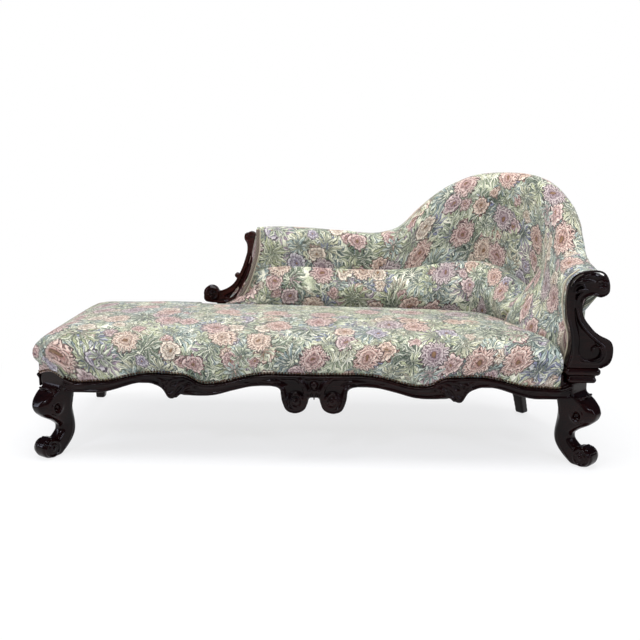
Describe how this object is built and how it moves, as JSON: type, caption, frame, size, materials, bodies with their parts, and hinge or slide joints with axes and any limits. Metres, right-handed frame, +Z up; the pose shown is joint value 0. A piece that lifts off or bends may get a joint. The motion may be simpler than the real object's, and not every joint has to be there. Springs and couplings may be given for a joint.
{
  "type": "fainting couch",
  "caption": "Carved fainting couch with a serpentine front rail, cabriole legs, a low upholstered back that sweeps up into a hump and round into one arm.",
  "frame": {"origin": "centre of the bounding box in plan, at floor level", "axes": "+X along the couch towards the arm, +Y from the front to the back, +Z up"},
  "size_m": [1.8864, 0.7222, 0.9319],
  "materials": {
    "mahogany": "gloss",
    "frame_timber": "matt",
    "tapestry": "matt",
    "stuffing": "matt",
    "hessian": "matt",
    "webbing": "matt",
    "dust_cloth": "matt",
    "spring_steel": "satin"
  },
  "bodies": {
    "root": {"front_rail": "mahogany", "foot_rail": "mahogany", "back_rail": "mahogany", "corner_rail": "mahogany", "head_rail": "mahogany", "front_web_rail": "frame_timber", "web_battens": "frame_timber", "seat_braces": "frame_timber", "front_left_leg": "mahogany", "front_right_leg": "mahogany", "back_left_leg": "mahogany", "back_right_leg": "mahogany", "arm_post_collar": "mahogany", "arm_front_post": "mahogany", "back_end_scroll": "mahogany", "back_low_rail": "frame_timber", "corner_low_rail": "frame_timber", "arm_low_rail": "frame_timber", "back_top_rail": "frame_timber", "corner_top_rail": "frame_timber", "arm_top_rail": "frame_timber", "wall_uprights": "frame_timber", "back_webs": "webbing", "back_hessian": "hessian", "arm_hessian": "hessian", "back_stuffing": "stuffing", "back_cover": "tapestry", "lumbar_stuffing": "stuffing", "lumbar_cover": "tapestry", "arm_stuffing": "stuffing", "arm_cover": "tapestry", "outside_back_cover": "tapestry", "outside_arm_cover": "tapestry", "long_webs": "webbing", "cross_webs": "webbing", "seat_springs": "spring_steel", "spring_hessian": "hessian", "seat_stuffing": "stuffing", "seat_cover": "tapestry", "bottom_cloth": "dust_cloth"}
  },
  "joints": []
}
